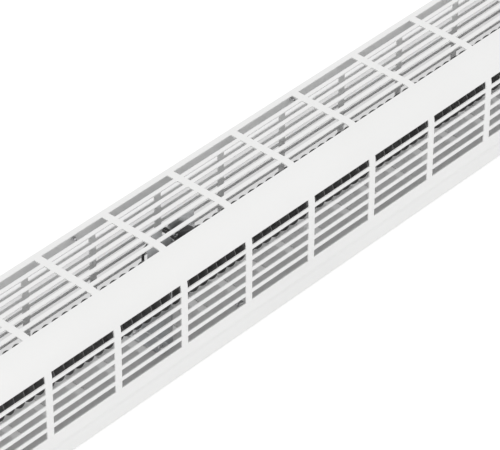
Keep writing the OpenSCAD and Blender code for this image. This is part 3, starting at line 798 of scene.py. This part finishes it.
def makeTube(s):
    height = elementSet["height"]
    front, rear = (frontY + y for y in elementSet["legs"])
    middle = Vector((s["bendX"], (front + rear) / 2, height))
    arc = [middle + turned(-90 - 180 * k / s["bendSteps"], "Z") @ Vector(((rear - front) / 2, 0, 0))
           for k in range(s["bendSteps"] + 1)]
    path = [Vector((s["endX"], front, height))] + arc + [Vector((s["endX"], rear, height))]
    tube = tubeAlong(path, s["radius"], s["roundness"])
    smooth(tube)
    finishPiece(tube, "heatingTube", "heatedSteel", "element_steel", "element_tube")


makeTube(tubeSet)

bushSet = {"places": (-0.476, -0.19915, 0.409, 0.424),
           "profile": [(4.08, -2), (6.9, -2), (7.2, -1.7), (7.2, -0.3), (6.9, 0), (5.95, 0), (5.95, 2.9),
                       (5.65, 3.2), (4.08, 3.2), (4.08, -2)]}


def makeBushes(s):
    ring = lathe(s["profile"], (0, 0, 0), (1, 0, 0), 32)
    smooth(ring)
    bushes = copies(ring, [Matrix.Translation((x, frontY + y, elementSet["height"]))
                           for x in s["places"] for y in elementSet["legs"]])
    finishPiece(bushes, "tubeBushes", "ceramic", "ceramic", "tube_bushes")


makeBushes(bushSet)

# the two leads of the cut-out, in millimetres: x from the middle, y from the front face, z from the floor
leadSet = {
    "radius": 1.1 * mm, "bend": 7 * mm, "bendSteps": 7, "roundness": 3,
    "thermostat": [(459, 30, 72.5), (459, 62, 72.5), (436, 71.5, 53.25), (436, 71.5, 17), (-179.65, 71.5, 17),
                   (-179.65, 71.5, 63.25), (-179.65, 52, 97), (-179.65, 40, 97), (-158.65, 30, 93),
                   (-158.65, 30, 85)],
    "element": [(450, 34.5, 57.25), (454, 34.5, 57.25), (454, 34.5, 37), (432, 40.5, 27), (430, 68.5, 17),
                (-182.65, 68.5, 17), (-182.65, 68.5, 63.25), (-182.65, 52, 97), (-182.65, 41, 97),
                (-176.15, 32, 86), (-167.65, 30, 85)],
}


def makeLeads(s):
    leads = []
    for name in ("thermostat", "element"):
        points = [Vector((x * mm, frontY + y * mm, z * mm)) for x, y, z in s[name]]
        path = roundedPath(points, [s["bend"]] * len(points), s["bendSteps"])
        leads.append(tubeAlong(path, s["radius"], s["roundness"]))
    pair = joined(leads)
    smooth(pair)
    finishPiece(pair, "cutoutLeads", "blackSleeve", "black_wire", "cutout_wires")


makeLeads(leadSet)
print("element wired")


# screws and rivets: one of each kind turned on the lathe, then set in place
# each kind of screw: radius and height of its head, radius and length of its shank, in millimetres; the head's
# profile and its cross are shares of them
screwSet = {
    "cap": (3, 1.8, 1.5, 7), "cover": (3.4, 1.8, 1.75, 6), "bracket": (3, 1.8, 1.6, 3.7),
    "cutout": (2.3, 1.4, 1.2, 5), "bond": (3.2, 2.2, 1.75, 3.3),
    "steps": 28, "head": [(0, 1), (0.45, 0.98), (0.78, 0.82), (0.94, 0.55), (1, 0.2), (1, 0)], "tip": 0.4,
    "crossReach": 0.6, "crossWidth": 0.2, "crossDepth": 0.55, "firstTwist": 15, "twist": 37,
    "lipXs": (-0.480, -0.240, 0, 0.240, 0.480), "coverZ": 103.8 * mm, "bracketZ": 9.2 * mm,
    "bracketXs": (-0.482, -0.20515, 0.4162, 0.4312), "bracketYs": (29 * mm, 55 * mm),
    "cutoutApart": 10 * mm, "cutoutY": 45 * mm,
}


def makeScrew(kind):
    s = screwSet
    r, h, shank, length = s[kind]
    profile = [(across * r, up * h) for across, up in s["head"]]
    profile += [(shank, 0), (shank, shank - length), (s["tip"] * shank, -length), (0, -length)]
    screw = lathe(profile, (0, 0, 0), (0, 0, 1), s["steps"])
    reach, half = s["crossReach"] * r * mm, s["crossWidth"] * r * mm / 2
    floor, above = h * mm * (1 - s["crossDepth"]), 2 * h * mm
    cutWith(screw, block((-reach, -half, floor), (reach, half, above)))
    cutWith(screw, block((-half, -reach, floor), (half, reach, above)))
    smooth(screw, 32)
    return screw


def setInPlace(shape, name, node, places):
    # places are (point, outward direction) pairs; each copy is turned a little differently
    matrices = []
    for k, (point, direction) in enumerate(places):
        turn = Vector(direction).to_track_quat("Z", "Y").to_matrix().to_4x4()
        twist = turned(screwSet["firstTwist"] + screwSet["twist"] * k, "Z")
        matrices.append(Matrix.Translation(point) @ turn @ twist)
    finishPiece(copies(shape, matrices), name, "brightSteel", "screw_steel", node)


def setScrews(s):
    sides, sunk = (-1, 1), capSet["screws"]
    capEnd = coverHigh.x + coverSet["capThickness"] - capSet["sinkDepth"]
    setInPlace(makeScrew("cap"), "capScrews", "cap_screws",
               [((side * capEnd, frontY + y, z), (side, 0, 0)) for side in sides for y, z in sunk])
    setInPlace(makeScrew("cover"), "coverScrews", "cover_screws",
               [((x, rearY, s["coverZ"]), (0, 1, 0)) for x in s["lipXs"]])
    setInPlace(makeScrew("bracket"), "bracketScrews", "bracket_screws",
               [((x, frontY + y, s["bracketZ"]), (0, 0, 1)) for x in s["bracketXs"] for y in s["bracketYs"]])
    middle = Vector((plateSet["cutX"], frontY + s["cutoutY"], plateSet["cutZ"]))
    setInPlace(makeScrew("cutout"), "cutoutScrews", "cutout_screws",
               [(middle + Vector((side * s["cutoutApart"], 0, 0)), (0, -1, 0)) for side in sides])


setScrews(screwSet)

bondSet = {"place": (-0.126, 0.0215), "floor": 8 * mm, "washerThickness": 0.8 * mm,
           "washer": [(2, 0), (3.85, 0), (4, 0.15), (4, 0.65), (3.85, 0.8), (2, 0.8), (2, 0)]}


def makeBond(s):
    x, y = s["place"]
    washer = lathe(s["washer"], (x, frontY + y, s["floor"]), (0, 0, 1), 32)
    smooth(washer)
    finishPiece(washer, "bondWasher", "brightSteel", "screw_steel")
    setInPlace(makeScrew("bond"), "bondScrew", "bond_screw",
               [((x, frontY + y, s["floor"] + s["washerThickness"]), (0, 0, 1))])


makeBond(bondSet)

rivetSet = {"height": 15 * mm,
            "profile": [(0, 0.8), (1.8, 0.72), (2.7, 0.4), (3, 0), (1.6, 0), (1.6, -2), (2.4, -2),
                        (2.4, -2.6), (1.5, -3), (0.9, -3), (0.9, -2.3), (0, -2.3)]}


def makeRivets(s):
    rivet = lathe(s["profile"], (0, 0, 0), (0, 0, 1), screwSet["steps"])
    smooth(rivet)
    setInPlace(rivet, "panelRivets", "panel_rivets",
               [((x, rearY - coverSet["sheet"], s["height"]), (0, 1, 0)) for x in screwSet["lipXs"]])


makeRivets(rivetSet)
print("screws set")


# rubber feet, and the bush that a supply cable goes through
footSet = {"x": 0.488, "ys": (19 * mm, 65 * mm),
           "profile": [(3.04, 0), (8.04, 0), (8.4, 0.18), (8.82, 0.6), (8.88, 6.82), (8.76, 7), (2.8, 7),
                       (2.8, 0.24), (3.04, 0)]}


def makeFeet(s):
    foot = lathe(s["profile"], (0, 0, 0), (0, 0, 1), 40)
    smooth(foot)
    feet = copies(foot, [Matrix.Translation((x, frontY + y, 0)) for x in (-s["x"], s["x"]) for y in s["ys"]])
    finishPiece(feet, "rubberFeet", "blackRubber", "rubber", "foot_pads")


makeFeet(footSet)

# the bush's profile is measured from its inner end, then from its outer end
bushingSet = {"inner": [(5.3, 0), (7.45, 0), (7.95, 0.6), (7.95, 2), (9.2, 3)],
              "outer": [(9.2, -3), (7.95, -3), (7.95, -2), (9.8, -2), (10, -1.7), (9.8, -1.1), (8.4, -0.3),
                        (5.9, 0), (4.9, -0.3), (4.5, -1.2)],
              "bore": [(4.5, 0.8), (5.3, 0)]}


def makeCableBush(s):
    low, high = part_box("cable_bush")
    x, z = panelSet["entry"]
    length = (high.y - low.y) / mm
    profile = s["inner"] + [(r, length + a) for r, a in s["outer"]] + s["bore"]
    ring = lathe(profile, (x, low.y, z), (0, 1, 0))
    smooth(ring)
    finishPiece(ring, "cableBush", "blackMoulding", "black_moulding", "cable_bush")


makeCableBush(bushingSet)
print("feet and bush fitted")


# control knob: a skirt and a fluted grip turned in one, and a raised pointer with a dark line
knobSet = {
    "profile": [(9.5, 0.8), (16, 0.8), (16.8, 1.2), (17, 1.9), (17, 3.4), (16.6, 4.2), (15.4, 5), (14.1, 5.7),
                (13.5, 6.6), (13.1, 12.4), (12.7, 13.3), (11.8, 13.8), (10.5, 13.9), (8.5, 13.5), (0, 13.1)],
    "grip": 13.5 * mm, "gripBand": 0.5 * mm, "out": 14 * mm, "steps": 96, "flutes": 32,
    "fluteFoot": 7 * mm, "fluteTop": 12.3 * mm, "fluteIn": 0.12 * mm, "fluteDepth": 0.35 * mm,
    "pointerHalf": 2 * mm, "pointerReach": 16.2 * mm, "pointerFoot": 11 * mm, "pointerRoot": 5.2 * mm,
    "pointerSlope": 2 * mm, "pointerEdge": 0.9 * mm, "pointerIn": 0.03 * mm, "lineHalf": 0.45 * mm,
    "lineFoot": 1 * mm, "lineReach": 12.8 * mm, "lineDeep": 0.6 * mm, "lineEdge": 0.15 * mm,
}


def makeKnob(s):
    x, z = knobCentre.x, knobCentre.z
    face = frontY - s["out"]
    knob = lathe(s["profile"], (x, frontY, z), (0, -1, 0), s["steps"])

    def flute(f):
        c = f.calc_center_median()
        angle = math.atan2(c.z - z, c.x - x) % (2 * math.pi)
        tall = s["fluteFoot"] < frontY - c.y < s["fluteTop"]
        onGrip = abs(math.hypot(c.z - z, c.x - x) - s["grip"]) < s["gripBand"]
        return tall and onGrip and int(angle * s["steps"] / (2 * math.pi)) % (s["steps"] // s["flutes"]) == 0

    editMode(knob)
    pick("FACE", flute)
    bpy.ops.mesh.inset(thickness=s["fluteIn"], depth=-s["fluteDepth"], use_individual=True)
    objectMode()
    smooth(knob, 32)
    pointer = block((x - s["pointerHalf"], face + s["pointerIn"], z - s["pointerFoot"]),
                    (x + s["pointerHalf"], frontY - s["pointerRoot"], z + s["pointerReach"]))
    editMode(pointer)
    pick("VERT", lambda v: v.co.z > z and same(v.co.y, face + s["pointerIn"]))
    bpy.ops.transform.translate(value=(0, 0, -s["pointerSlope"]))
    objectMode()
    soften(pointer, s["pointerEdge"], 4)
    finishPiece(joined([knob, pointer]), "heatKnob", "whiteMoulding", "white_cap", "control_knob",
                body="control_dial")
    line = block((x - s["lineHalf"], face, z + s["lineFoot"]),
                 (x + s["lineHalf"], face + s["lineDeep"], z + s["lineReach"]))
    soften(line, s["lineEdge"])
    finishPiece(line, "knobLine", "printGrey", "rocker_black", body="control_dial")


makeKnob(knobSet)

# dial plate with its printed marks and plain numbers; every fifth mark is long and has a number
dialSet = {
    "profile": [(5, 0), (22, 0), (22, 0.35), (21.85, 0.5), (5, 0.5), (5, 0)], "thickness": 0.5 * mm,
    "tickIn": 17.5 * mm, "tickOut": 18.4 * mm, "mainOut": 19 * mm, "tickHalf": 0.13 * mm,
    "print": 0.04 * mm, "sunk": 0.02 * mm, "sweep": 135, "ticks": 30, "main": 5,
    "numbers": "0123456", "numberRadius": 20.5 * mm, "numberSize": 2.5 * mm,
}


def makeNumber(character, middle, s):
    deselect()
    bpy.ops.object.text_add()
    text = bpy.context.object.data
    text.body = character
    text.size = s["numberSize"]
    text.align_x = text.align_y = "CENTER"
    text.extrude = s["print"] / 2
    bpy.ops.object.convert(target="MESH")
    bpy.context.object.data.transform(Matrix.Translation(middle) @ turned(90, "X"))
    return bpy.context.object


def makeDial(s):
    x, z = knobCentre.x, knobCentre.z
    face = frontY - s["thickness"]
    plate = lathe(s["profile"], (x, frontY, z), (0, -1, 0), 72)
    smooth(plate)
    finishPiece(plate, "dialPlate", "dialWhite", "dial_white", "dial_plate")
    marks = []
    for k in range(s["ticks"] + 1):
        end = s["tickOut"] if k % s["main"] else s["mainOut"]
        tick = block((-s["tickHalf"], -s["print"], s["tickIn"]), (s["tickHalf"], s["sunk"], end))
        angle = -s["sweep"] + 2 * s["sweep"] * k / s["ticks"]
        tick.data.transform(Matrix.Translation((x, face, z)) @ turned(angle, "Y"))
        marks.append(tick)
    for k, character in enumerate(s["numbers"]):
        angle = math.radians(-s["sweep"] + 2 * s["sweep"] * k / (len(s["numbers"]) - 1))
        middle = (x + math.sin(angle) * s["numberRadius"], face - s["print"] / 2,
                  z + math.cos(angle) * s["numberRadius"])
        marks.append(makeNumber(character, middle, s))
    finishPiece(joined(marks), "dialMarks", "printGrey", "rocker_black")


makeDial(dialSet)
print("knob and dial made")


# rocker switch: frame, and a two-sided rocker with its on and off marks
rockerSet = {
    "pivot": (4 * mm, 59 * mm), "half": 4.8 * mm, "tilt": 8, "edge": 0.5 * mm, "print": 0.04 * mm,
    "section": [(2.5, -3), (-2.5, -7.5), (-5.6, -7.5), (-4.4, 0), (-5.6, 7.5), (-2.5, 7.5), (2.5, 3)],
    "markHeight": 4.7 * mm, "sunk": 0.2 * mm, "barHalf": 0.25 * mm, "barTall": 2.6 * mm,
    "ringRadius": 1.3 * mm, "ringThick": 0.22 * mm, "ringFlat": 0.35,
}


def makeRocker(s):
    y, z = s["pivot"]
    place = Matrix.Translation((switchCentre.x, frontY + y, z)) @ turned(s["tilt"], "X")
    piece = slab([Vector((-s["half"], a * mm, b * mm)) for a, b in s["section"]], 2 * s["half"])
    soften(piece, s["edge"], 4, 20)
    piece.data.transform(place)
    finishPiece(piece, "rockerKey", "glossBlack", "rocker_black", "rocker", body="switch_rocker")
    # the two faces meet in a shallow valley, and the marks lie on its slopes
    (valley, _), (ridge, end) = s["section"][3:5]
    slope = math.atan2(valley - ridge, end)
    depth = -valley * mm + s["markHeight"] * math.tan(slope)
    bar = block((-s["barHalf"], -s["print"], -s["barTall"] / 2), (s["barHalf"], s["sunk"], s["barTall"] / 2))
    upper = Matrix.Translation((0, -depth, s["markHeight"])) @ Matrix.Rotation(slope, 4, "X")
    bar.data.transform(place @ upper)
    deselect()
    bpy.ops.mesh.primitive_torus_add(major_radius=s["ringRadius"], minor_radius=s["ringThick"],
                                     major_segments=40, minor_segments=8)
    circle = bpy.context.object
    flat = Matrix.Rotation(-slope, 4, "X") @ turned(90, "X") @ Matrix.Diagonal((1, 1, s["ringFlat"], 1))
    circle.data.transform(place @ Matrix.Translation((0, -depth, -s["markHeight"])) @ flat)
    smooth(circle, 60)
    finishPiece(joined([bar, circle]), "rockerMarks", "printWhite", "dial_white", body="switch_rocker")


makeRocker(rockerSet)

frameSet = {"bezel": 1.5 * mm, "bezelIn": 1 * mm, "corner": 1.4 * mm, "opening": (5.1 * mm, 8.6 * mm),
            "cutFront": 3 * mm, "deep": 10.5 * mm, "bezelEdge": 0.35 * mm, "bodyEdge": 0.25 * mm}


def makeSwitchFrame(s):
    low, high, edge = switchLow, switchHigh, s["bezelIn"]
    bezel = block((low.x, frontY - s["bezel"], low.z), (high.x, frontY, high.z))
    bevelWhere(bezel, "EDGE", lambda e: not same(e.verts[0].co.y, e.verts[1].co.y), s["corner"], 5)
    body = block((low.x + edge, frontY, low.z + edge), (high.x - edge, high.y, high.z - edge))
    for shell in (bezel, body):
        cutWith(shell, blockAt(switchCentre.x, switchCentre.z, *s["opening"],
                               frontY - s["cutFront"], frontY + s["deep"]))
    soften(bezel, s["bezelEdge"], 3)
    soften(body, s["bodyEdge"])
    finishPiece(joined([bezel, body]), "switchFrame", "blackMoulding", "black_moulding", "switch_housing")


makeSwitchFrame(frameSet)
print("switch made")

# the other nodes keep their own shape and get a finish
nodeFinish = {
    "platedSteel": ["division_plate"],
    "blackRubber": ["wire_grommet"],
    "ceramic": ["terminal_insulators"],
    "brass": ["terminal_pins", "terminal_nuts", "spade_tabs", "earth_stud", "earth_nut"],
    "blackMoulding": ["thermostat_body"],
    "brightSteel": ["thermostat_shaft", "thermostat_nut", "terminal_screws"],
    "creamMoulding": ["terminal_block"],
    "brownSleeve": ["live_wire", "switched_wire"],
    "blueSleeve": ["neutral_wire"],
    "greenSleeve": ["earth_wire"],
}
for finish, nodes in nodeFinish.items():
    for node in nodes:
        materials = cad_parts[node].data.materials
        materials.clear()
        materials.append(look[finish])
print("nodes dressed")


# floor, world and lamp; in two zones, under the heater and close behind it, the floor's own light is cut as a
# painted shadow that only shows through the slots, each zone with the ends, near side and far side over which
# it fades
floorSet = {"size": 12, "colour": (0.88, 0.88, 0.88, 1), "ownLight": 0.78, "shadow": (0.36, 0.36, 0.36, 1),
            "under": {"paintedShadowDrop": 0.46, "ends": (0.500, 0.512), "near": (-0.034, -0.029), "far": (0.044, 0.056)},
            "behind": {"paintedShadowDrop": 0.40, "ends": (0.38, 0.54), "near": (0.044, 0.056), "far": (0.119, 0.150)}}
worldLight = 0.94
lampSet = {"place": (-1.6, -3.2, 1.5), "aim": (0, 0, 0.05), "size": 2.6, "power": 15.8}


def maths(tree, operation, *values):
    return addNode(tree, "Math", dict(enumerate(values)), operation=operation).outputs[0]


def splitView(tree, kind, lit, seen):
    # one shader lights the scene, the other is what is seen directly or in a reflection
    rays = tree.nodes.new("ShaderNodeLightPath").outputs
    direct = maths(tree, "MAXIMUM", rays["Is Camera Ray"], rays["Is Glossy Ray"])
    direct = maths(tree, "MAXIMUM", direct, rays["Is Transmission Ray"])
    choose = addNode(tree, "MixShader", {0: direct, 1: lit.outputs[0], 2: seen.outputs[0]})
    addNode(tree, kind, {"Surface": choose.outputs[0]})


def fadeBetween(tree, value, span, falling=False):
    # rises from 0 to 1 over the span, or falls
    inputs = {"Value": value, "From Min": span[0], "From Max": span[1], "To Min": int(falling),
              "To Max": int(not falling)}
    return addNode(tree, "MapRange", inputs, interpolation_type="SMOOTHSTEP").outputs["Result"]


def floorGlowLessPaintedShadow(tree, s):
    # the floor's own light, with a painted shadow: less of it under the heater and close behind it
    place = tree.nodes.new("ShaderNodeTexCoord").outputs["Object"]
    split = addNode(tree, "SeparateXYZ", {0: place}).outputs
    x, y = maths(tree, "ABSOLUTE", split["X"]), split["Y"]
    level = s["ownLight"]
    for zone in (s["under"], s["behind"]):
        paintedShadowMask = fadeBetween(tree, y, zone["near"])
        for value, span in ((y, zone["far"]), (x, zone["ends"])):
            paintedShadowMask = maths(tree, "MULTIPLY", paintedShadowMask, fadeBetween(tree, value, span, True))
        # each zone's drop is painted shadow taken off the floor's own light
        level = maths(tree, "SUBTRACT", level, maths(tree, "MULTIPLY", paintedShadowMask, zone["paintedShadowDrop"]))
    return level


def makeFloor(s):
    deselect()
    bpy.ops.mesh.primitive_plane_add(size=s["size"], location=(0, 0, 0))
    floor = bpy.context.object
    floor.name = "studioFloor"
    material = bpy.data.materials.new("studioFloor")
    material.use_nodes = True
    tree = material.node_tree
    tree.nodes.clear()
    plain = addNode(tree, "BsdfDiffuse", {"Color": s["colour"]})
    shadow = addNode(tree, "BsdfDiffuse", {"Color": s["shadow"]})
    glow = addNode(tree, "Emission", {"Strength": floorGlowLessPaintedShadow(tree, s)})
    both = addNode(tree, "AddShader", {0: shadow.outputs[0], 1: glow.outputs[0]})
    splitView(tree, "OutputMaterial", plain, both)
    floor.data.materials.append(material)


def makeWorld(strength):
    world = bpy.data.worlds.new("studioWorld")
    scene.world = world
    world.use_nodes = True
    tree = world.node_tree
    tree.nodes.clear()
    white = (1, 1, 1, 1)
    lit = addNode(tree, "Background", {"Color": white, "Strength": strength})
    seen = addNode(tree, "Background", {"Color": white, "Strength": 1})
    splitView(tree, "OutputWorld", lit, seen)


def makeLamp(s):
    data = bpy.data.lights.new("frontLamp", "AREA")
    data.shape = "SQUARE"
    data.size = s["size"]
    data.energy = s["power"]
    lamp = bpy.data.objects.new("frontLamp", data)
    scene.collection.objects.link(lamp)
    lamp.location = s["place"]
    lamp.rotation_euler = (Vector(s["aim"]) - Vector(s["place"])).to_track_quat("-Z", "Y").to_euler()


makeFloor(floorSet)
makeWorld(worldLight)
makeLamp(lampSet)
print("studio lit")
